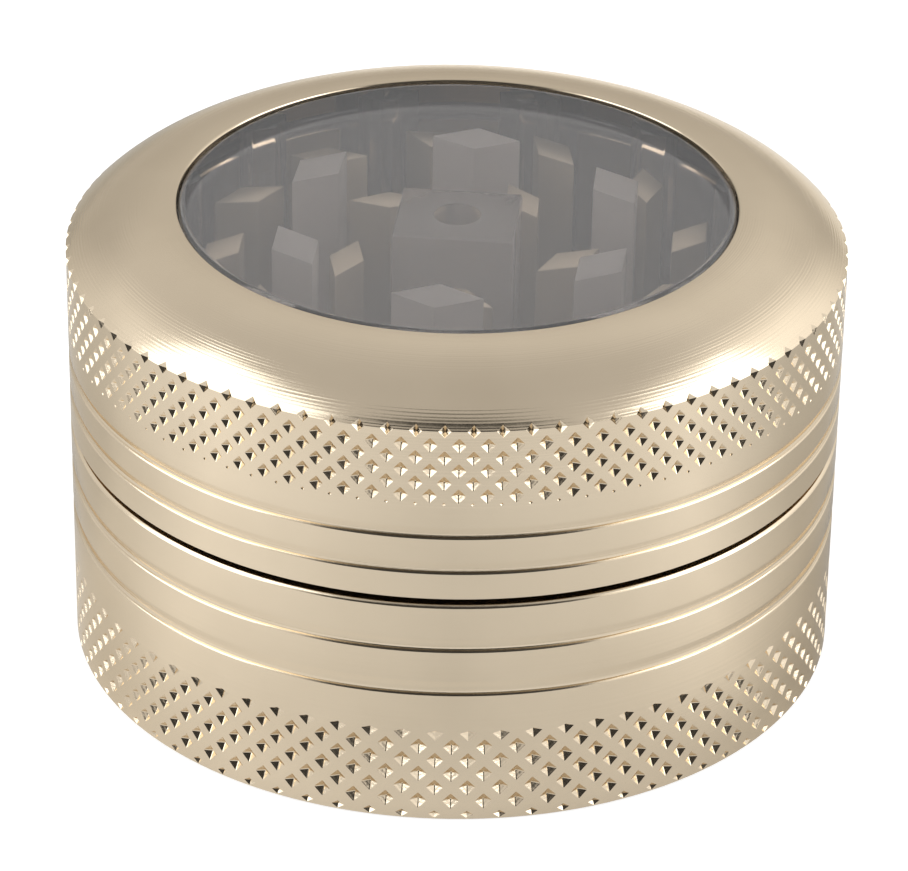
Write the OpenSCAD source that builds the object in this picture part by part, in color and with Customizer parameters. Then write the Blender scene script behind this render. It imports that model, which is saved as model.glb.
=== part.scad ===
// Two-piece hand grinder, 56 mm class: turned aluminium cup and lid ring,
// and a clear moulded window whose own teeth hang between the cup's teeth.
// Millimetres. Origin on the axis at the bottom face, +Z up.

/* [Overall] */
// Outer diameter of the cup and of the lid
outer_d = 56; // [54:0.5:62]
// Height of the closed grinder
total_h = 34.3; // [33:0.1:40]
// Height of the cup's outer wall, up to the seam
base_h = 17.5; // [16.8:0.1:19]
// Gap between the cup's shoulder and the lid's lower edge
seam_gap = 0.5; // [0.3:0.1:0.8]

/* [Cup] */
// Thickness of the cup's floor
floor_t = 5.5; // [4.5:0.5:7]
// Wall thickness of the neck that the lid turns on
neck_wall = 2.25; // [1.8:0.05:2.5]
// Height of the neck above the cup's shoulder
neck_rise = 10.5; // [9:0.5:11]
// Height of the knurled band at the foot
base_knurl_h = 7.7; // [6:0.1:9]

/* [Lid] */
// Diameter of the window hole in the lid's top
window_d = 40.12; // [36:0.02:42]
// Width of the flat ring round the window, before the shoulder falls away
top_flat = 0.45; // [0.3:0.05:2]
// Drop from the top face to the sharp edge where the knurl starts
shoulder_drop = 3.2; // [2.6:0.1:4]
// Height of the knurled band below that edge
lid_knurl_h = 5.9; // [5:0.1:7]
// Thickness of the lid's lip that holds the window down
lip_t = 1.1; // [0.9:0.1:1.3]
// Wall thickness of the lid's skirt
skirt_wall = 2.85; // [2.4:0.05:3.2]

/* [Clear window] */
// Thickness of the window disc
window_t = 3; // [2.4:0.1:3.4]
// How far the window sits below the lid's top face
window_recess = 0.1; // [0:0.05:0.3]
// Side of the square boss in the middle, in X before it is turned
boss_x = 8.7; // [8:0.1:9]
// Side of the square boss in the middle, in Y before it is turned
boss_y = 7.7; // [7:0.1:9]
// Turn of the boss about the axis, in degrees
boss_turn = -5.5; // [-45:0.5:45]
// Diameter of the boss's hole, which runs on the pivot pin
boss_bore_d = 3.6; // [3.2:0.1:4.2]

/* [Teeth] */
// Number of clear teeth in the window's inner ring
window_inner_n = 6; // [5:1:6]
// Number of clear teeth in the window's outer ring
window_outer_n = 12; // [8:1:12]
// Number of metal teeth in the cup's inner ring
cup_inner_n = 5; // [3:1:5]
// Number of metal teeth in the cup's outer ring
cup_outer_n = 12; // [8:1:12]
// Gap between the tops of the metal teeth and the window
tooth_clear = 2.2; // [0.4:0.1:3]
// Turn of each metal tooth about its own middle, in degrees
tooth_swirl = -34; // [-34:1:0]

/* [Fits] */
// Radial clearance between the neck and the lid's skirt
skirt_clear = 0.3; // [0.2:0.05:0.4]
// Radial running clearance of the pivot pin and of the friction ring
running_clear = 0.08; // [0.04:0.01:0.1]

/* [Hidden] */
$fn = 128;

outer_r = outer_d / 2;
edge_break = 0.15;

// Heights, from the floor up
lid_low_z = base_h + seam_gap;
neck_top_z = base_h + neck_rise;
ring_h = 1;
face_clear = 0.05;
step_z = neck_top_z + ring_h + 2 * face_clear;
lip_z = total_h - lip_t;
window_top_z = total_h - window_recess;
window_low_z = window_top_z - window_t;
shoulder_z = total_h - shoulder_drop;

// Radii, from the outside in
skirt_r = outer_r - skirt_wall;
neck_r = skirt_r - skirt_clear;
chamber_r = neck_r - neck_wall;
pocket_r = chamber_r + 0.45;
window_r = window_d / 2;
window_fit = 0.03;

// The shoulder's arc: level at its top, down to the sharp edge at the outside
shoulder_top_r = window_r + top_flat;
shoulder_run = outer_r - shoulder_top_r;
shoulder_arc_r = (shoulder_run * shoulder_run + shoulder_drop * shoulder_drop) / (2 * shoulder_drop);
shoulder_sweep = asin(shoulder_run / shoulder_arc_r);
shoulder_steps = 16;

// Turned grooves on the outside: lower edge, upper edge and depth of each
lid_grooves = [[22.85, 23.6, 0.22], [20.1, 20.9, 0.22]];
cup_grooves = [[13.85, 14.8, 0.22], [10.35, 11.35, 0.22]];

// Teeth: pitch radius, half length along the ring before any swirl, half width across it
cup_inner_ring = [8.3, 2.95, 1.3];
window_inner_ring = [12.5, 3.28, 1.81];
cup_outer_ring = [16.8, 2.9, 1.35];
window_outer_ring = [20.6, 2.4, 1.4];
cup_inner_turn = 55;
window_inner_turn = 24;
cup_outer_turn = 5;
window_outer_turn = 15;
cup_tooth_top_z = window_low_z - tooth_clear;
window_tooth_low_z = floor_t + 1.5;
shank_r = 1.1;
shank_depth = 3;

pin_r = boss_bore_d / 2 - running_clear;
pin_top_z = floor_t + 9;
pin_tip = 0.5;

// One turned groove as profile points, from its upper edge down to its lower one
function groove(low, high, deep) = [
    [outer_r, high],
    [outer_r - deep, high - 0.12],
    [outer_r - deep, low + 0.08],
    [outer_r - deep + 0.06, low],
    [outer_r, low]];

// Profile points of a list of grooves that is sorted from the top down
function grooves(list) = [for (g = list) each groove(g[0], g[1], g[2])];

// The shoulder from its top edge out to the sharp edge
function shoulder() = [for (i = [0:shoulder_steps])
    let (a = shoulder_sweep * i / shoulder_steps)
    [shoulder_top_r + shoulder_arc_r * sin(a), total_h - shoulder_arc_r * (1 - cos(a))]];

// Rhombus with its long axis along the ring
module tooth_section(ring) {
    polygon([[-ring[2], 0], [0, -ring[1]], [ring[2], 0], [0, ring[1]]]);
}

// Puts its children at place i of n on a ring
module at_ring(ring, i, n, turn) {
    rotate([0, 0, turn + i * 360 / n]) translate([ring[0], 0, 0]) children();
}

// Cup: floor, outer wall, neck, and the holes for the pin and the tooth shanks
module base_cup() {
    outline = concat(
        [[0, 0], [outer_r - edge_break, 0], [outer_r, edge_break]],
        [for (g = [cup_grooves[1], cup_grooves[0]]) each [for (i = [4:-1:0]) groove(g[0], g[1], g[2])[i]]],
        [[outer_r, base_h - edge_break], [outer_r - edge_break, base_h],
         [neck_r, base_h], [neck_r, neck_top_z - edge_break], [neck_r - edge_break, neck_top_z],
         [chamber_r + edge_break, neck_top_z], [chamber_r, neck_top_z - edge_break],
         [chamber_r, floor_t], [0, floor_t]]);
    color("#cdbea5") difference() {
        rotate_extrude() polygon(outline);
        translate([0, 0, floor_t - shank_depth]) cylinder(h = shank_depth + 1, r = pin_r);
        for (i = [0:cup_inner_n - 1]) at_ring(cup_inner_ring, i, cup_inner_n, cup_inner_turn) shank_hole();
        for (i = [0:cup_outer_n - 1]) at_ring(cup_outer_ring, i, cup_outer_n, cup_outer_turn) shank_hole();
    }
}

module shank_hole() {
    translate([0, 0, floor_t - shank_depth]) cylinder(h = shank_depth + 1, r = shank_r, $fn = 32);
}

// One metal tooth: a swirled rhombic prism on a round shank pressed into the floor
module cup_tooth(ring, i, n, turn) {
    color("#c3b49b") at_ring(ring, i, n, turn) {
        translate([0, 0, floor_t]) rotate([0, 0, tooth_swirl])
            linear_extrude(cup_tooth_top_z - floor_t) tooth_section(ring);
        translate([0, 0, floor_t - shank_depth]) cylinder(h = shank_depth, r = shank_r, $fn = 32);
    }
}

// Pin in the middle of the cup's floor, which centres the window's boss
module pivot_pin() {
    color("#b9b2a6") rotate_extrude() polygon([
        [0, floor_t - shank_depth], [pin_r, floor_t - shank_depth], [pin_r, pin_top_z - pin_tip],
        [pin_r - pin_tip, pin_top_z], [0, pin_top_z]]);
}

// Nylon ring on top of the neck, which the lid turns on
module friction_ring() {
    inner = pocket_r + 0.25;
    outer = skirt_r - running_clear;
    color("#3a3937") translate([0, 0, neck_top_z + face_clear]) difference() {
        cylinder(h = ring_h, r = outer);
        translate([0, 0, -1]) cylinder(h = ring_h + 2, r = inner);
    }
}

// Lid ring: lip, rounded shoulder, knurled band, two grooves and the skirt
module lid_ring() {
    outline = concat(
        [[window_r, lip_z], [window_r, total_h - edge_break], [window_r + edge_break, total_h]],
        shoulder(),
        [[outer_r, shoulder_z - lid_knurl_h]],
        grooves(lid_grooves),
        [[outer_r, lid_low_z + edge_break], [outer_r - edge_break, lid_low_z],
         [skirt_r + edge_break, lid_low_z], [skirt_r, lid_low_z + edge_break],
         [skirt_r, step_z], [pocket_r, step_z], [pocket_r, lip_z]]);
    color("#cdbea5") rotate_extrude() polygon(outline);
}

// Clear moulding: stepped disc, square boss with its blind bore, two rings of teeth
module clear_window() {
    flange_r = pocket_r - window_fit;
    disc_r = window_r - window_fit;
    tooth_h = window_low_z - window_tooth_low_z;
    color("#b9bcc6", 0.45) difference() {
        union() {
            rotate_extrude() polygon([
                [0, window_low_z], [flange_r, window_low_z], [flange_r, lip_z], [disc_r, lip_z],
                [disc_r, window_top_z - 0.3], [disc_r - 0.3, window_top_z], [0, window_top_z]]);
            rotate([0, 0, boss_turn])
                translate([-boss_x / 2, -boss_y / 2, window_tooth_low_z])
                cube([boss_x, boss_y, tooth_h + 0.5]);
            for (i = [0:window_inner_n - 1])
                at_ring(window_inner_ring, i, window_inner_n, window_inner_turn)
                window_tooth(window_inner_ring, tooth_h);
            for (i = [0:window_outer_n - 1])
                at_ring(window_outer_ring, i, window_outer_n, window_outer_turn)
                window_tooth(window_outer_ring, tooth_h);
        }
        translate([0, 0, window_tooth_low_z - 1])
            cylinder(h = window_low_z - window_tooth_low_z + 1, r = boss_bore_d / 2);
    }
}

module window_tooth(ring, tooth_h) {
    translate([0, 0, window_tooth_low_z]) linear_extrude(tooth_h + 0.5) tooth_section(ring);
}

base_cup();
pivot_pin();
friction_ring();
lid_ring();
clear_window();
for (i = [1:cup_inner_n])
    cup_tooth(cup_inner_ring, i - 1, cup_inner_n, cup_inner_turn);
for (i = [1:cup_outer_n])
    cup_tooth(cup_outer_ring, i - 1, cup_outer_n, cup_outer_turn);
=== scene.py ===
"""A two-piece hand grinder: a knurled cup, and a knurled lid ring round a clear window with its own teeth."""
import math

import bpy
from mathutils import Matrix, Vector


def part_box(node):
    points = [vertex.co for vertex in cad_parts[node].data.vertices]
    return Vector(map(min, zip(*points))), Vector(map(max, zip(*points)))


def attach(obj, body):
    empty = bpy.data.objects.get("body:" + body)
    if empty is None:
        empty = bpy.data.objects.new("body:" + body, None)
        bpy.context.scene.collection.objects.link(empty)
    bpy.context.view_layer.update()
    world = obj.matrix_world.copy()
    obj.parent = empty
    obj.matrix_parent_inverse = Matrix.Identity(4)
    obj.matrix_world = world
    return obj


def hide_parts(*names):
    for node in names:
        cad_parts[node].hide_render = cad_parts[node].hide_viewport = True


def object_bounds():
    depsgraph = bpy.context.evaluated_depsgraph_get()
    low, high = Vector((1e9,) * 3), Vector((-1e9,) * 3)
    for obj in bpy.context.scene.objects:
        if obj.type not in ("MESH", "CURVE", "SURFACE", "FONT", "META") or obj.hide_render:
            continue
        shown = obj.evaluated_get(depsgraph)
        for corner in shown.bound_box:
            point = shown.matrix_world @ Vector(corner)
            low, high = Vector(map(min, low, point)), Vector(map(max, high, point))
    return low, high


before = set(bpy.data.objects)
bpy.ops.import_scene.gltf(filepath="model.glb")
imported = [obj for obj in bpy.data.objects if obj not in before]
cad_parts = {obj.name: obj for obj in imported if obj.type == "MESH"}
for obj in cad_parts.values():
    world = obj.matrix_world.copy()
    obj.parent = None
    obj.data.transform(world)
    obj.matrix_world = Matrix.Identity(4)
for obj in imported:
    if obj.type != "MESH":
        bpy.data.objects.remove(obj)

cad_low, cad_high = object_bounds()

# ---------------------------------------------------------------- sizes, in metres
MM = 0.001
cup_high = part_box("base_cup")[1]
lid_low, lid_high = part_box("lid_ring")
window_low, window_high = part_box("clear_window")
nylon_low, nylon_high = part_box("friction_ring")
pin_low, pin_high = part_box("pivot_pin")
tooth_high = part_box("cup_outer_tooth_1")[1]

outer_r = cup_high.x
total_h = lid_high.z
cup_shoulder_z = 17.5 * MM
floor_z = 5.5 * MM
neck_r = 24.85 * MM
chamber_r = 22.6 * MM
skirt_r = 25.15 * MM
pocket_r = window_high.x + 0.03 * MM
window_r = 20.06 * MM
disc_r = 20.03 * MM
lip_z = total_h - 1.1 * MM
step_z = nylon_high.z + 0.05 * MM
disc_low_z = window_high.z - 3 * MM
shoulder_top_r = 20.51 * MM
shoulder_drop = 3.2 * MM
shoulder_z = total_h - shoulder_drop
EDGE_BREAK = 0.12 * MM

# A pit sits at every second corner of a row, so a row holds half as many pits as the piece has sides
LID_SIDES = 180
CUP_SIDES = 154
LID_START = math.radians(-1.25)
CUP_START = math.radians(0.34)
LID_PITCH = 0.975 * MM
CUP_PITCH = 1.12 * MM
FAINT_ROW_DROP = 5.62 * MM

# Turned grooves from the top down: lower edge and upper edge of each
LID_GROOVES = [(22.85 * MM, 23.6 * MM), (20.1 * MM, 20.9 * MM)]
CUP_GROOVES = [(13.85 * MM, 14.8 * MM), (10.35 * MM, 11.35 * MM)]
GROOVE_DEPTH = 0.22 * MM

# Pits of the knurl, with the sizes that press_knurl asks for
LID_EDGE_PIT = dict(half_wide=0.44 * MM, half_high=0.48 * MM, depth=0.25 * MM)
LID_PIT = dict(half_wide=0.52 * MM, half_high=0.58 * MM, depth=0.335 * MM, valley=0.04 * MM)
LID_FAINT_PIT = dict(half_wide=0.14 * MM, half_high=0.14 * MM, depth=0.08 * MM)
CUP_FOOT_PIT = dict(half_wide=0.44 * MM, half_high=0.3 * MM, depth=0.22 * MM)
CUP_PIT = dict(half_wide=0.61 * MM, half_high=0.65 * MM, depth=0.375 * MM, valley=0.04 * MM)
CUP_TOP_PIT = dict(half_wide=0.6 * MM, half_high=0.4 * MM, depth=0.29 * MM)


# ---------------------------------------------------------------- camera
CAMERA_PITCH = math.radians(29.607)
CAMERA_ROLL = math.radians(0.906)
CAMERA_LENS = 179.73
CAMERA_PLACE = (0, -10.345 * outer_r, 6.4115 * outer_r)


def set_camera():
    """The viewing angle: 29.6 degrees above the table, with a long lens and a slight roll."""
    data = bpy.data.cameras.new("camera")
    data.sensor_width = 36
    data.lens = CAMERA_LENS
    data.clip_start = 0.01
    camera = bpy.data.objects.new("camera", data)
    bpy.context.scene.collection.objects.link(camera)
    place = Matrix.Translation(CAMERA_PLACE)
    tilt = Matrix.Rotation(math.pi / 2 - CAMERA_PITCH, 4, "X")
    camera.matrix_world = place @ tilt @ Matrix.Rotation(CAMERA_ROLL, 4, "Z")
    bpy.context.scene.camera = camera


set_camera()


# ---------------------------------------------------------------- modelling helpers
def deselect_objects():
    bpy.ops.object.select_all(action="DESELECT")


def select_alone(obj):
    deselect_objects()
    obj.select_set(True)
    bpy.context.view_layer.objects.active = obj


def open_mesh(obj):
    """Edit mode on one object alone, with nothing in it selected."""
    select_alone(obj)
    bpy.ops.object.mode_set(mode="EDIT")
    bpy.ops.mesh.select_mode(type="VERT")
    bpy.ops.mesh.select_all(action="DESELECT")


def close_mesh():
    bpy.ops.object.mode_set(mode="OBJECT")


def reach_of(point):
    """How far a point is from the turning axis."""
    return math.hypot(point.x, point.y)


def pick_vertices(obj, wanted):
    """Selects the vertices whose place passes the test, from edit mode and back to it."""
    bpy.ops.mesh.select_all(action="DESELECT")
    close_mesh()
    for v in obj.data.vertices:
        v.select = wanted(v.co)
    bpy.ops.object.mode_set(mode="EDIT")


def pick_edges(obj, wanted):
    """Selects the edges of which one end passes the test, from edit mode and back to it."""
    bpy.ops.mesh.select_all(action="DESELECT")
    bpy.ops.mesh.select_mode(type="EDGE")
    close_mesh()
    for edge in obj.data.edges:
        edge.select = any(wanted(obj.data.vertices[i].co) for i in edge.vertices)
    bpy.ops.object.mode_set(mode="EDIT")


def settle(obj):
    """Puts the object's place, turn and scale into its mesh."""
    select_alone(obj)
    bpy.ops.object.transform_apply(location=True, rotation=True, scale=True)


def apply_modifier(obj, kind, **settings):
    """Adds a modifier of this kind, gives it the settings and applies it at once."""
    select_alone(obj)
    bpy.ops.object.modifier_add(type=kind)
    modifier = obj.modifiers[-1]
    for key, value in settings.items():
        setattr(modifier, key, value)
    bpy.ops.object.modifier_apply(modifier=modifier.name)


def join(objects, name):
    """Joins the objects into the first one, under this name."""
    whole = objects[0]
    select_alone(whole)
    for obj in objects[1:]:
        obj.select_set(True)
    bpy.ops.object.join()
    whole.name = whole.data.name = name
    return whole


def smooth(obj, degrees):
    """Smooth shading, except where two faces meet at more than this angle."""
    select_alone(obj)
    bpy.ops.object.shade_smooth_by_angle(angle=math.radians(degrees))


def turned(name, profile, sides, ring=True, start=0):
    """A lathe-turned piece: one circle drawn through the profile's points, each a radius and a height.

    A ring's profile closes on itself; otherwise a flat face closes each of its two ends."""
    deselect_objects()
    first_r, first_z = profile[0]
    bpy.ops.mesh.primitive_circle_add(vertices=sides, radius=first_r, location=(0, 0, first_z))
    obj = bpy.context.object
    obj.name = obj.data.name = name
    obj.rotation_euler = (0, 0, start)
    settle(obj)
    open_mesh(obj)
    bpy.ops.mesh.select_all(action="SELECT")
    path = list(profile) + ([profile[0]] if ring else [])
    for (r0, z0), (r1, z1) in zip(path, path[1:]):
        bpy.ops.mesh.extrude_region_move(TRANSFORM_OT_translate={"value": (0, 0, z1 - z0)})
        bpy.ops.transform.resize(value=(r1 / r0, r1 / r0, 1), center_override=(0, 0, z1))
    if ring:
        bpy.ops.mesh.select_all(action="SELECT")
        bpy.ops.mesh.remove_doubles(threshold=0.001 * MM)
    else:
        bpy.ops.mesh.edge_face_add()
        near = 0.001 * MM
        pick_vertices(obj, lambda p: abs(p.z - first_z) < near and abs(reach_of(p) - first_r) < near)
        bpy.ops.mesh.edge_face_add()
    bpy.ops.mesh.select_all(action="SELECT")
    bpy.ops.mesh.normals_make_consistent(inside=False)
    close_mesh()
    return obj


def press_knurl(obj, rows, first_row, sides, start, half_wide, half_high, depth, valley=0):
    """Sinks a four-sided pit at every second corner of each row, the rows staggered by half a pitch.

    The mesh is squeezed in height while the corners are cut, so that each pit is as high as wished.
    A valley width rounds the four creases in each pit."""
    squeeze = half_wide / half_high
    step = 2 * math.pi / sides
    heights = {first_row + k: z for k, z in enumerate(rows)}
    open_mesh(obj)
    bpy.ops.mesh.select_all(action="SELECT")
    bpy.ops.transform.resize(value=(1, 1, squeeze), center_override=(0, 0, 0))

    def on_knurl(p):
        if abs(reach_of(p) - outer_r) > 0.01 * MM:
            return False
        column = round((math.atan2(-p.x, p.y) - start) / step)
        return any(abs(p.z - z * squeeze) < 0.001 * MM and (column + k) % 2 == 0 for k, z in heights.items())

    pick_vertices(obj, on_knurl)
    bpy.ops.mesh.bevel(offset_type="OFFSET", offset=half_wide, affect="VERTICES")
    bpy.ops.mesh.select_mode(type="FACE")
    bpy.ops.mesh.poke(offset=-depth, use_relative_offset=False, center_mode="MEDIAN")
    bpy.ops.mesh.select_all(action="SELECT")
    bpy.ops.transform.resize(value=(1, 1, 1 / squeeze), center_override=(0, 0, 0))
    if valley:
        low, high = min(rows) - 0.2 * MM, max(rows) + 0.2 * MM
        inner, outer = outer_r - 1.3 * depth, outer_r - 0.75 * depth
        pick_edges(obj, lambda p: low < p.z < high and inner < reach_of(p) < outer)
        bpy.ops.mesh.bevel(offset_type="OFFSET", offset=valley, segments=1, affect="EDGES")
    bpy.ops.mesh.select_mode(type="VERT")
    bpy.ops.mesh.select_all(action="DESELECT")
    close_mesh()


def groove(low, high):
    """Profile points of a turned groove: a soft hollow, deepest near its lower edge, with a ledge there."""
    width = high - low
    deep = GROOVE_DEPTH
    hollow = [(outer_r, high + 0.1 * MM), (outer_r - 0.1 * deep, high),
              (outer_r - 0.5 * deep, high - 0.3 * width), (outer_r - deep, low + 0.3 * width),
              (outer_r - deep, low + 0.16 * MM)]
    ledge = [(outer_r - 0.8 * deep, low + 0.05 * MM), (outer_r - 0.065 * MM, low),
             (outer_r - 0.035 * MM, low - 0.036 * MM), (outer_r, low - 0.108 * MM)]
    return hollow + ledge


# ---------------------------------------------------------------- turned pieces
def make_lid():
    """Lid ring: lip, rounded shoulder, six rows of knurl and a faint seventh, two grooves, and the skirt."""
    run = outer_r - shoulder_top_r
    arc_r = (run * run + shoulder_drop * shoulder_drop) / (2 * shoulder_drop)
    sweep = math.asin(run / arc_r)
    steps = 13
    shoulder = [(shoulder_top_r + arc_r * math.sin(sweep * i / steps),
                 total_h - arc_r * (1 - math.cos(sweep * i / steps))) for i in range(steps + 1)]
    full_rows = [shoulder_z - 0.1 * MM - LID_PITCH * k for k in range(1, 6)]
    faint_row = shoulder_z - FAINT_ROW_DROP
    brk, low_brk = EDGE_BREAK, 0.06 * MM
    window_hole = [(window_r, lip_z), (window_r, total_h - brk), (window_r + brk / 3, total_h - brk / 3),
                   (window_r + brk, total_h)]
    side = [(outer_r, z) for z in [shoulder_z] + full_rows + [faint_row, faint_row - 0.8 * LID_PITCH]]
    for low, high in LID_GROOVES:
        side += groove(low, high)
    skirt = [(outer_r, lid_low.z + low_brk), (outer_r - low_brk, lid_low.z), (skirt_r + brk, lid_low.z),
             (skirt_r, lid_low.z + brk), (skirt_r, step_z), (pocket_r, step_z), (pocket_r, lip_z)]
    lid = turned("lid_ring_turned", window_hole + shoulder[:-1] + side + skirt, LID_SIDES, start=LID_START)
    press_knurl(lid, [shoulder_z], 0, LID_SIDES, LID_START, **LID_EDGE_PIT)
    press_knurl(lid, full_rows, 1, LID_SIDES, LID_START, **LID_PIT)
    press_knurl(lid, [faint_row], 6, LID_SIDES, LID_START, **LID_FAINT_PIT)
    smooth(lid, degrees=24)
    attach(lid, "lid")
    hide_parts("lid_ring")
    return lid


def cut_row_short(cup, row):
    """The cup's top row of pits, where the wheel's edge ran: flat above, and drawn out below."""
    half_high = CUP_TOP_PIT["half_high"]
    open_mesh(cup)
    for corner_z, drop in ((row + half_high, 0.18 * MM), (row - half_high, 0.2 * MM)):
        pick_vertices(cup, lambda p: abs(p.z - corner_z) < 0.02 * MM and reach_of(p) > outer_r - 0.1 * MM)
        bpy.ops.transform.translate(value=(0, 0, -drop))
    bpy.ops.mesh.select_all(action="DESELECT")
    close_mesh()


def make_cup():
    """Cup: flat foot, seven rows of knurl, two grooves, the shoulder at the seam, and the neck."""
    rows = [0.45 * MM + CUP_PITCH * k for k in range(7)]
    brk = EDGE_BREAK
    neck = [(chamber_r, floor_z), (chamber_r, cup_high.z - brk), (chamber_r + brk, cup_high.z),
            (neck_r - brk, cup_high.z), (neck_r, cup_high.z - brk), (neck_r, cup_shoulder_z)]
    seam_edge = [(outer_r - 0.22 * MM, cup_shoulder_z), (outer_r - 0.17 * MM, cup_shoulder_z - 0.02 * MM),
                 (outer_r - 0.03 * MM, cup_shoulder_z - 0.16 * MM), (outer_r, cup_shoulder_z - 0.22 * MM)]
    side = []
    for low, high in CUP_GROOVES:
        side += groove(low, high)
    side += [(outer_r, z) for z in [rows[-1] + 0.6 * MM] + rows[::-1]]
    foot = [(outer_r, brk), (outer_r - brk, 0)]
    cup = turned("base_cup_turned", neck + seam_edge + side + foot, CUP_SIDES, ring=False, start=CUP_START)
    press_knurl(cup, rows[:1], 0, CUP_SIDES, CUP_START, **CUP_FOOT_PIT)
    press_knurl(cup, rows[1:6], 1, CUP_SIDES, CUP_START, **CUP_PIT)
    press_knurl(cup, rows[6:], 6, CUP_SIDES, CUP_START, **CUP_TOP_PIT)
    cut_row_short(cup, rows[6])
    smooth(cup, degrees=24)
    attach(cup, "base")
    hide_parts("base_cup")
    return cup


def make_nylon_ring():
    """Friction ring on the neck's rim, with all four edges broken."""
    inner, outer = pocket_r + 0.22 * MM, nylon_high.x
    brk = EDGE_BREAK
    low, high = nylon_low.z, nylon_high.z
    profile = [(inner, low + brk), (inner, high - brk), (inner + brk, high), (outer - brk, high),
               (outer, high - brk), (outer, low + brk), (outer - brk, low), (inner + brk, low)]
    ring = turned("friction_ring_nylon", profile, sides=120)
    smooth(ring, degrees=50)
    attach(ring, "ring")
    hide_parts("friction_ring")
    return ring


def make_pin():
    """Pivot pin with a rounded tip, which the window's boss turns on."""
    r, top = pin_high.x, pin_high.z
    profile = [(0.25 * r, pin_low.z), (r, pin_low.z), (r, top - 0.5 * MM), (0.93 * r, top - 0.25 * MM),
               (0.7 * r, top - 0.02 * MM), (0.55 * r, top)]
    pin = turned("pivot_pin_ground", profile, sides=48, ring=False)
    smooth(pin, degrees=40)
    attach(pin, "base")
    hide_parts("pivot_pin")
    return pin


# ---------------------------------------------------------------- teeth
BEVEL_FROM = math.radians(30)


def rhombic_prism(name, half_across, half_along, low, high, edge):
    """An upright diamond prism on the turning axis, its edges slightly rounded."""
    deselect_objects()
    bpy.ops.mesh.primitive_cylinder_add(vertices=4, radius=1, depth=1)
    obj = bpy.context.object
    obj.name = obj.data.name = name
    obj.scale = (half_across, half_along, high - low)
    obj.location = (0, 0, (low + high) / 2)
    settle(obj)
    apply_modifier(obj, "BEVEL", width=edge, segments=2, limit_method="ANGLE", angle_limit=BEVEL_FROM)
    return obj


def place_on_ring(obj, radius, turn, swirl=0):
    """Moves a piece made on the axis out to a ring and turns it there."""
    obj.location = (radius * math.cos(turn), radius * math.sin(turn), 0)
    obj.rotation_euler = (0, 0, turn + swirl)
    settle(obj)


def copy_of(obj, name):
    """A copy of a piece with a mesh of its own."""
    new = obj.copy()
    new.data = obj.data.copy()
    new.name = new.data.name = name
    bpy.context.scene.collection.objects.link(new)
    return new


# Rings of teeth: half length along the ring and half width across it, and the first tooth's place in degrees
CUP_RINGS = {
    "cup_inner_tooth": dict(count=5, radius=8.3 * MM, along=2.95 * MM, across=1.3 * MM, turn=55),
    "cup_outer_tooth": dict(count=12, radius=16.8 * MM, along=2.9 * MM, across=1.35 * MM, turn=5),
}
WINDOW_RINGS = [
    dict(count=6, radius=12.5 * MM, along=3.28 * MM, across=1.81 * MM, turn=24),
    dict(count=12, radius=20.6 * MM, along=2.4 * MM, across=1.4 * MM, turn=15),
]
SWIRL = math.radians(-34)
INTO_FLOOR = 0.2 * MM
INTO_DISC = 0.05 * MM

BOSS_X, BOSS_Y = 8.7 * MM, 7.7 * MM
BOSS_TURN = math.radians(-5.5)
BORE_R = 1.8 * MM


def make_cup_teeth():
    """One milled tooth of each ring, copied to every place; each starts a little below the cup's floor."""
    made = []
    for ring, spec in CUP_RINGS.items():
        pattern = rhombic_prism(ring + "_pattern", spec["across"], spec["along"], floor_z - INTO_FLOOR,
                                tooth_high.z, 0.1 * MM)
        for i in range(spec["count"]):
            tooth = copy_of(pattern, f"{ring}_{i + 1}_milled")
            turn = spec["turn"] + 360 * i / spec["count"]
            place_on_ring(tooth, spec["radius"], math.radians(turn), SWIRL)
            smooth(tooth, degrees=30)
            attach(tooth, "base")
            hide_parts(f"{ring}_{i + 1}")
            made.append(tooth)
        bpy.data.objects.remove(pattern)
    return made


def make_window_disc():
    """Stepped disc of the clear moulding: a flange under the lid's lip, and a rounded rim in the hole."""
    top, flange_r = window_high.z, window_high.x
    bevel = 0.55 * MM
    profile = [(flange_r, disc_low_z), (flange_r, lip_z), (disc_r, lip_z), (disc_r, top - bevel),
               (disc_r - 0.18 * bevel, top - 0.45 * bevel), (disc_r - 0.55 * bevel, top - 0.14 * bevel),
               (disc_r - bevel, top), (disc_r - bevel - 0.1 * MM, top)]
    return turned("clear_window_moulded", profile, sides=160, ring=False)


def make_window_teeth():
    """One clear tooth of each ring, copied to every place, from its lower end up into the disc."""
    made = []
    for spec in WINDOW_RINGS:
        pattern = rhombic_prism("tooth_pattern", spec["across"], spec["along"], window_low.z,
                                disc_low_z + INTO_DISC, 0.12 * MM)
        for i in range(spec["count"]):
            tooth = copy_of(pattern, "moulded_tooth")
            place_on_ring(tooth, spec["radius"], math.radians(spec["turn"] + 360 * i / spec["count"]))
            made.append(tooth)
        bpy.data.objects.remove(pattern)
    return made


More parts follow.
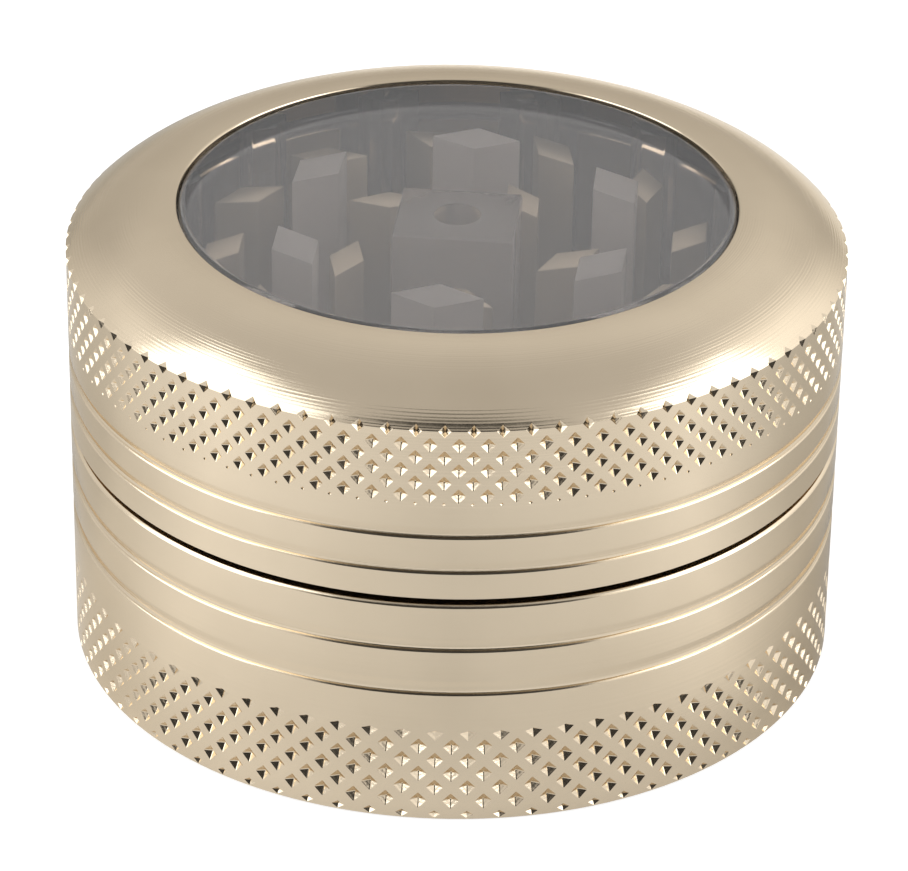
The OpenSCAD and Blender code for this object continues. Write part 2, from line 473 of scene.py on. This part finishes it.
def make_boss():
    """Square boss in the middle of the clear moulding, with the blind bore that runs on the pin."""
    low = window_low.z
    deselect_objects()
    bpy.ops.mesh.primitive_cube_add(size=1)
    boss = bpy.context.object
    boss.scale = (BOSS_X, BOSS_Y, disc_low_z + INTO_DISC - low)
    boss.location = (0, 0, (low + disc_low_z + INTO_DISC) / 2)
    boss.rotation_euler = (0, 0, BOSS_TURN)
    settle(boss)
    apply_modifier(boss, "BEVEL", width=0.25 * MM, segments=3, limit_method="ANGLE", angle_limit=BEVEL_FROM)
    bore_top = disc_low_z + 0.3 * MM
    bore = [(BORE_R, low - 1 * MM), (BORE_R, bore_top - 0.6 * MM), (0.93 * BORE_R, bore_top - 0.2 * MM),
            (0.7 * BORE_R, bore_top)]
    cutter = turned("bore_cutter", bore, sides=64, ring=False)
    apply_modifier(boss, "BOOLEAN", operation="DIFFERENCE", solver="EXACT", object=cutter)
    bpy.data.objects.remove(cutter)
    return boss


def make_window():
    """Clear moulding: stepped disc, square boss with a blind bore, and two rings of teeth."""
    disc = make_window_disc()
    teeth = make_window_teeth()
    boss = make_boss()
    disc = join([disc, boss] + teeth, "clear_window_moulded")
    smooth(disc, degrees=28)
    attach(disc, "lid")
    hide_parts("clear_window")
    return disc


# ---------------------------------------------------------------- materials
TOOL_FEED = 0.19 * MM
FEED_HEIGHT = 0.12
PLASTIC_IOR = 1.52

# Each surface's colour varies between two
CHAMPAGNE = (0.660, 0.552, 0.408), (0.700, 0.588, 0.438)
# The cup's teeth: milled satin through their roughness, and a darker champagne than the body as painted shade
# for the chamber round them
MILLED_AND_SHADED = (0.53, 0.46, 0.36), (0.58, 0.5, 0.39)
POLISHED_CLEAR = (0.92, 0.88, 0.86), (0.96, 0.93, 0.91)
SATIN_CLEAR = (0.88, 0.82, 0.78), (0.94, 0.88, 0.84)
BLACK_NYLON = (0.035, 0.034, 0.032), (0.06, 0.058, 0.055)
GROUND_STEEL = (0.50, 0.49, 0.48), (0.60, 0.59, 0.57)


def new_material(name):
    """A material with its nodes and links."""
    material = bpy.data.materials.new(name)
    material.use_nodes = True
    return material, material.node_tree.nodes, material.node_tree.links


def new_group(name, inputs, outputs):
    """A shader node group with named sockets; returns it with its input and output nodes."""
    group = bpy.data.node_groups.new(name, "ShaderNodeTree")
    for label, kind, value in inputs:
        socket = group.interface.new_socket(name=label, in_out="INPUT", socket_type=kind)
        if value is not None:
            socket.default_value = value
    for label, kind in outputs:
        group.interface.new_socket(name=label, in_out="OUTPUT", socket_type=kind)
    entry = group.nodes.new("NodeGroupInput")
    leave = group.nodes.new("NodeGroupOutput")
    return group, entry, leave


def math_node(nodes, links, operation, a, b=None):
    """One step of arithmetic on numbers or on other nodes' outputs."""
    node = nodes.new("ShaderNodeMath")
    node.operation = operation
    for slot, value in enumerate((a, b)):
        if value is None:
            continue
        if isinstance(value, (int, float)):
            node.inputs[slot].default_value = value
        else:
            links.new(value, node.inputs[slot])
    return node.outputs[0]


def lathe_marks_group():
    """Fine turned lines round the axis, by radius and height, with the tool's feed as a wave over them."""
    inputs = [("Vector", "NodeSocketVector", None), ("Lines", "NodeSocketFloat", 6000.0)]
    group, entry, leave = new_group("lathe_marks", inputs, [("Height", "NodeSocketFloat")])
    nodes, links = group.nodes, group.links
    split = nodes.new("ShaderNodeSeparateXYZ")
    links.new(entry.outputs["Vector"], split.inputs[0])
    x2 = math_node(nodes, links, "MULTIPLY", split.outputs[0], split.outputs[0])
    y2 = math_node(nodes, links, "MULTIPLY", split.outputs[1], split.outputs[1])
    radius = math_node(nodes, links, "SQRT", math_node(nodes, links, "ADD", x2, y2))
    along = nodes.new("ShaderNodeCombineXYZ")
    links.new(math_node(nodes, links, "MULTIPLY", radius, entry.outputs["Lines"]), along.inputs[0])
    links.new(math_node(nodes, links, "MULTIPLY", split.outputs[2], entry.outputs["Lines"]), along.inputs[1])
    noise = nodes.new("ShaderNodeTexNoise")
    noise.noise_dimensions = "2D"
    noise.inputs["Scale"].default_value = 1
    noise.inputs["Detail"].default_value = 3
    links.new(along.outputs[0], noise.inputs["Vector"])
    turns = math_node(nodes, links, "MULTIPLY", radius, 2 * math.pi / TOOL_FEED)
    wave = math_node(nodes, links, "SINE", turns)
    feed = math_node(nodes, links, "MULTIPLY", wave, FEED_HEIGHT)
    links.new(math_node(nodes, links, "ADD", noise.outputs["Fac"], feed), leave.inputs["Height"])
    return group


def grain_group():
    """The fine satin grain of etched, anodised metal, with a slower mottle over it."""
    outputs = [("Fine", "NodeSocketFloat"), ("Slow", "NodeSocketFloat")]
    group, entry, leave = new_group("satin_grain", [("Vector", "NodeSocketVector", None)], outputs)
    nodes, links = group.nodes, group.links
    for label, scale, detail in (("Fine", 9000, 2), ("Slow", 120, 3)):
        noise = nodes.new("ShaderNodeTexNoise")
        noise.inputs["Scale"].default_value = scale
        noise.inputs["Detail"].default_value = detail
        links.new(entry.outputs["Vector"], noise.inputs["Vector"])
        links.new(noise.outputs["Fac"], leave.inputs[label])
    return group


def map_range(nodes, links, value, low, high, to_low, to_high):
    """A value between low and high, carried over to the second range and held at its ends."""
    node = nodes.new("ShaderNodeMapRange")
    node.inputs["From Min"].default_value = low
    node.inputs["From Max"].default_value = high
    node.inputs["To Min"].default_value = to_low
    node.inputs["To Max"].default_value = to_high
    links.new(value, node.inputs["Value"])
    return node.outputs[0]


def mix_colour(nodes, links, factor, colours):
    """A colour between two, by an output."""
    node = nodes.new("ShaderNodeMix")
    node.data_type = "RGBA"
    links.new(factor, node.inputs["Factor"])
    for label, colour in zip("AB", colours):
        node.inputs[label].default_value = (*colour, 1)
    return node.outputs["Result"]


LATHE = lathe_marks_group()
GRAIN = grain_group()


def shared_effect(nodes, links, group):
    """A node of one of the shared groups, fed with the object's own coordinates."""
    node = nodes.new("ShaderNodeGroup")
    node.node_tree = group
    links.new(nodes.new("ShaderNodeTexCoord").outputs["Object"], node.inputs["Vector"])
    return node


def bump_node(nodes, links, height, distance):
    """A full-strength bump from an output, as deep as the distance."""
    node = nodes.new("ShaderNodeBump")
    node.inputs["Strength"].default_value = 1
    node.inputs["Distance"].default_value = distance
    links.new(height, node.inputs["Height"])
    return node


def anodised(name, colours, rough, line_height, lines):
    """Champagne anodised aluminium: satin, with turned lines and a slight mottle in colour and gloss."""
    material, nodes, links = new_material(name)
    shader = nodes["Principled BSDF"]
    shader.inputs["Metallic"].default_value = 1
    shader.inputs["Specular Tint"].default_value = (1, 0.94, 0.84, 1)
    lathe = shared_effect(nodes, links, LATHE)
    lathe.inputs["Lines"].default_value = lines
    grain = shared_effect(nodes, links, GRAIN)
    mottle = map_range(nodes, links, grain.outputs["Slow"], 0.3, 0.7, 0, 1)
    links.new(mix_colour(nodes, links, mottle, colours), shader.inputs["Base Color"])
    gloss = map_range(nodes, links, grain.outputs["Fine"], 0.2, 0.8, rough - 0.04, rough + 0.05)
    links.new(gloss, shader.inputs["Roughness"])
    bump = bump_node(nodes, links, lathe.outputs["Height"], line_height)
    fine = bump_node(nodes, links, grain.outputs["Fine"], 0.0008 * MM)
    links.new(bump.outputs["Normal"], fine.inputs["Normal"])
    links.new(fine.outputs["Normal"], shader.inputs["Normal"])
    return material


def clear_plastic():
    """Clear polycarbonate with a faint smoky tint and slight handling haze."""
    material, nodes, links = new_material("clear_polycarbonate")
    shader = nodes["Principled BSDF"]
    shader.inputs["Metallic"].default_value = 0
    shader.inputs["Transmission Weight"].default_value = 0.965
    shader.inputs["IOR"].default_value = PLASTIC_IOR
    grain = shared_effect(nodes, links, GRAIN)
    links.new(mix_colour(nodes, links, grain.outputs["Slow"], POLISHED_CLEAR), shader.inputs["Base Color"])
    gloss = map_range(nodes, links, grain.outputs["Slow"], 0.3, 0.7, 0.02, 0.07)
    links.new(gloss, shader.inputs["Roughness"])
    return material


def satin_plastic(name, clearness, low_rough, high_rough):
    """The same moulding where the tool left it satin: the sides and ends of its teeth and boss."""
    material, nodes, links = new_material(name)
    shader = nodes["Principled BSDF"]
    shader.inputs["Metallic"].default_value = 0
    shader.inputs["Transmission Weight"].default_value = clearness
    shader.inputs["IOR"].default_value = PLASTIC_IOR
    grain = shared_effect(nodes, links, GRAIN)
    links.new(mix_colour(nodes, links, grain.outputs["Slow"], SATIN_CLEAR), shader.inputs["Base Color"])
    gloss = map_range(nodes, links, grain.outputs["Fine"], 0.3, 0.7, low_rough, high_rough)
    links.new(gloss, shader.inputs["Roughness"])
    return material


def nylon():
    """Black nylon with a fine satin grain."""
    material, nodes, links = new_material("black_nylon")
    shader = nodes["Principled BSDF"]
    grain = shared_effect(nodes, links, GRAIN)
    links.new(mix_colour(nodes, links, grain.outputs["Slow"], BLACK_NYLON), shader.inputs["Base Color"])
    gloss = map_range(nodes, links, grain.outputs["Fine"], 0.2, 0.8, 0.42, 0.55)
    links.new(gloss, shader.inputs["Roughness"])
    return material


def steel():
    """Ground steel, its lines round the pin."""
    material, nodes, links = new_material("ground_steel")
    shader = nodes["Principled BSDF"]
    shader.inputs["Metallic"].default_value = 1
    lathe = shared_effect(nodes, links, LATHE)
    lathe.inputs["Lines"].default_value = 9000
    links.new(mix_colour(nodes, links, lathe.outputs["Height"], GROUND_STEEL), shader.inputs["Base Color"])
    gloss = map_range(nodes, links, lathe.outputs["Height"], 0.2, 0.8, 0.2, 0.35)
    links.new(gloss, shader.inputs["Roughness"])
    return material


def frost_below(obj):
    """Frosted teeth inside, a satin boss, and polish on the disc, the bore and the outer teeth at the rim."""
    polished, frosted, satin = range(3)
    beyond_boss, beyond_inner_teeth = 7 * MM, 16.5 * MM
    for face in obj.data.polygons:
        reach, z = reach_of(face.center), face.center.z
        of_disc = len(face.vertices) > 100 or z > disc_low_z + 0.1 * MM
        of_bore = 0.1 * MM < reach < BORE_R + 0.05 * MM and z < disc_low_z
        if of_disc or of_bore or reach > beyond_inner_teeth:
            face.material_index = polished
        elif reach < beyond_boss:
            face.material_index = satin
        else:
            face.material_index = frosted


def dress(obj, material):
    """Gives the whole piece one material."""
    obj.data.materials.clear()
    obj.data.materials.append(material)


# ---------------------------------------------------------------- the object
lid = make_lid()
cup = make_cup()
nylon_ring = make_nylon_ring()
pin = make_pin()
cup_teeth = make_cup_teeth()
window = make_window()

body_metal = anodised("champagne_anodised", CHAMPAGNE, rough=0.16, line_height=0.012 * MM, lines=5200)
# The teeth's darker colour is painted shade inside the chamber
tooth_metal = anodised("champagne_milled_shaded", MILLED_AND_SHADED, rough=0.5, line_height=0.001 * MM, lines=14000)
dress(lid, body_metal)
dress(cup, body_metal)
for tooth in cup_teeth:
    dress(tooth, tooth_metal)
dress(pin, steel())
dress(nylon_ring, nylon())
dress(window, clear_plastic())
for plastic in (satin_plastic("frosted_polycarbonate", clearness=0.55, low_rough=0.28, high_rough=0.4),
                satin_plastic("satin_polycarbonate", clearness=0.72, low_rough=0.1, high_rough=0.18)):
    window.data.materials.append(plastic)
frost_below(window)


# ---------------------------------------------------------------- studio
# Glow of the paper as the metal sees it, by direction: 0 left, 0.25 front, 0.5 right, 0.75 back.
# The near ring lies at the foot, the pools beyond it, and the far paper runs out to the floor's edge.
# The two blends between them, and the shade at the foot, go by the distance from the axis.
NEAR_PAPER = [(0, 0.38), (0.047, 0.41), (0.097, 0.58), (0.156, 0.66), (0.25, 0.48), (0.344, 0.48),
              (0.403, 0.34), (0.453, 0.14), (0.52, 0.08), (0.75, 0.15), (1, 0.38)]
PAPER_POOLS = [(0, 0.41), (0.03, 0.48), (0.086, 0.7), (0.164, 0.48), (0.25, 0.29), (0.336, 0.4),
               (0.414, 0.64), (0.467, 0.36), (0.506, 0.2), (0.571, 0.1), (0.65, 0.18), (0.75, 0.3),
               (0.85, 0.15), (0.92, 0.16), (0.972, 0.25), (1, 0.41)]
FAR_PAPER = [(0, 0.5), (0.25, 0.6), (0.5, 0.52), (0.68, 0.45), (0.71, 0.5), (0.74, 0.68),
             (0.757, 0.6), (0.775, 0.28), (0.795, 0.04), (0.84, 0.04), (0.91, 0.24), (1, 0.5)]
NEAR_TO_POOLS = (0.03, 0.039)
POOLS_TO_FAR = (0.08, 0.105)
FOOT_SHADE = (0.028, 0.042)
PAPER_GREY = 0.5
PAPER_GLOW = 0.7
COOL_WHITE = (0.91, 0.955, 1)

# Brightness of the sky, and of the fill from the right, by height: 0 level, 1 straight up
SKY_HEIGHTS = [(0, 0.62), (0.2, 0.58), (0.4, 0.64), (0.5, 0.8), (0.67, 0.8), (0.83, 0.72), (0.94, 0.66),
               (1, 0.63)]
RIGHT_FILL = [(0, 0), (0.12, 0), (0.3, 0.13), (0.72, 0.13), (0.86, 0), (1, 0)]

# How far to the side each glow starts and is full, and its level at both
RIGHT_GLOW = (0.5, 0.73, 0, 0.6)
LEFT_GLOW = (-0.5, -0.75, 0, 0.32)
FILL_EDGE = (0.05, 0.25, 0, 1)

# The dark room: its middle, and how much light is left as a direction comes nearer to it
DARK_MIDDLE = (0, -math.cos(math.radians(30)), math.sin(math.radians(30)))
DARK_EDGE = (0.775, 0.83, 1, 0.08)


def fill_ramp(ramp, stops):
    """Grey stops on a colour ramp, the first and last on the two it starts with."""
    for place, value in stops[1:-1]:
        ramp.elements.new(place).color = (value, value, value, 1)
    for index, (place, value) in ((0, stops[0]), (-1, stops[-1])):
        ramp.elements[index].position = place
        ramp.elements[index].color = (value, value, value, 1)


def make_floor():
    """White paper: it takes the shadow, and glows to plain white for the camera, more dimly for the metal."""
    deselect_objects()
    bpy.ops.mesh.primitive_plane_add(size=6, location=(0, 0, cad_low.z - 0.02 * MM))
    floor = bpy.context.object
    floor.name = "studio_floor"
    material, nodes, links = new_material("white_paper")
    shader = nodes["Principled BSDF"]
    shader.inputs["Roughness"].default_value = 0.9
    shader.inputs["Specular IOR Level"].default_value = 0.0
    where = nodes.new("ShaderNodeTexCoord").outputs["Object"]
    turn = nodes.new("ShaderNodeTexGradient")
    turn.gradient_type = "RADIAL"
    links.new(where, turn.inputs["Vector"])
    near, pools, far = [nodes.new("ShaderNodeValToRGB") for _ in range(3)]
    for ramp, stops in ((near, NEAR_PAPER), (pools, PAPER_POOLS), (far, FAR_PAPER)):
        fill_ramp(ramp.color_ramp, stops)
        links.new(turn.outputs["Fac"], ramp.inputs[0])
    distance = nodes.new("ShaderNodeVectorMath")
    distance.operation = "LENGTH"
    links.new(where, distance.inputs[0])
    away = distance.outputs["Value"]
    beyond_foot = map_range(nodes, links, away, *NEAR_TO_POOLS, 0, 1)
    beyond_pools = map_range(nodes, links, away, *POOLS_TO_FAR, 0, 1)
    by_distance = near.outputs["Color"]
    for factor, ramp in ((beyond_foot, pools), (beyond_pools, far)):
        blend = nodes.new("ShaderNodeMix")
        links.new(factor, blend.inputs["Factor"])
        links.new(by_distance, blend.inputs["A"])
        links.new(ramp.outputs["Color"], blend.inputs["B"])
        by_distance = blend.outputs["Result"]
    path = nodes.new("ShaderNodeLightPath")
    by_metal = math_node(nodes, links, "MULTIPLY", path.outputs["Is Glossy Ray"], by_distance)
    shaded_foot = map_range(nodes, links, away, *FOOT_SHADE, 0.39, PAPER_GREY)
    paper = nodes.new("ShaderNodeMix")
    paper.inputs["A"].default_value = PAPER_GREY
    links.new(path.outputs["Is Glossy Ray"], paper.inputs["Factor"])
    links.new(shaded_foot, paper.inputs["B"])
    links.new(paper.outputs["Result"], shader.inputs["Base Color"])
    to_camera, through_glass = path.outputs["Is Camera Ray"], path.outputs["Is Transmission Ray"]
    by_camera = math_node(nodes, links, "MAXIMUM", to_camera, through_glass)
    by_camera = math_node(nodes, links, "MULTIPLY", by_camera, PAPER_GLOW)
    shader.inputs["Emission Color"].default_value = (1, 1, 1, 1)
    links.new(math_node(nodes, links, "MAXIMUM", by_metal, by_camera), shader.inputs["Emission Strength"])
    dress(floor, material)


def height_ramp(nodes, links, height, stops):
    """A brightness by height, from 0 at the horizon to 1 straight up."""
    ramp = nodes.new("ShaderNodeValToRGB")
    fill_ramp(ramp.color_ramp, stops)
    links.new(height, ramp.inputs[0])
    return ramp.outputs["Color"]


def make_world():
    """A white studio: grey overhead, bright to both sides, and dark behind the camera."""
    world = bpy.data.worlds.new("studio")
    bpy.context.scene.world = world
    world.use_nodes = True
    nodes, links = world.node_tree.nodes, world.node_tree.links
    back = nodes["Background"]
    towards = nodes.new("ShaderNodeTexCoord").outputs["Generated"]
    split = nodes.new("ShaderNodeSeparateXYZ")
    links.new(towards, split.inputs[0])
    across, height = split.outputs[0], split.outputs[2]
    sky = height_ramp(nodes, links, height, SKY_HEIGHTS)
    right = map_range(nodes, links, across, *RIGHT_GLOW)
    left = map_range(nodes, links, across, *LEFT_GLOW)
    to_right = map_range(nodes, links, across, *FILL_EDGE)
    fill = math_node(nodes, links, "MULTIPLY", to_right, height_ramp(nodes, links, height, RIGHT_FILL))
    sides = math_node(nodes, links, "ADD", right, left)
    glow = math_node(nodes, links, "ADD", sides, fill)
    level = math_node(nodes, links, "ADD", sky, glow)
    facing = nodes.new("ShaderNodeVectorMath")
    facing.operation = "DOT_PRODUCT"
    facing.inputs[1].default_value = DARK_MIDDLE
    links.new(towards, facing.inputs[0])
    lit = map_range(nodes, links, facing.outputs["Value"], *DARK_EDGE)
    shade = math_node(nodes, links, "MULTIPLY", level, lit)
    path = nodes.new("ShaderNodeLightPath")
    mix = nodes.new("ShaderNodeMix")
    mix.data_type = "RGBA"
    links.new(path.outputs["Is Camera Ray"], mix.inputs["Factor"])
    links.new(shade, mix.inputs["A"])
    mix.inputs["B"].default_value = (1, 1, 1, 1)
    links.new(mix.outputs["Result"], back.inputs["Color"])
    back.inputs["Strength"].default_value = 1.0


def soft_light(name, place, width, height, power):
    """A cool rectangular softbox, turned to the middle of the object."""
    data = bpy.data.lights.new(name, "AREA")
    data.shape = "RECTANGLE"
    data.size, data.size_y = width, height
    data.energy = power
    data.color = COOL_WHITE
    lamp = bpy.data.objects.new(name, data)
    bpy.context.scene.collection.objects.link(lamp)
    lamp.location = place
    lamp.rotation_euler = (Vector((0, 0, total_h / 2)) - Vector(place)).to_track_quat("-Z", "Y").to_euler()


make_floor()
make_world()
soft_light("left_softbox", (-0.56, -0.11, 0.41), width=0.54, height=0.64, power=2.15)
soft_light("right_softbox", (0.57, -0.09, 0.365), width=0.5, height=0.47, power=1.5)

bpy.context.scene.view_settings.view_transform = "Standard"
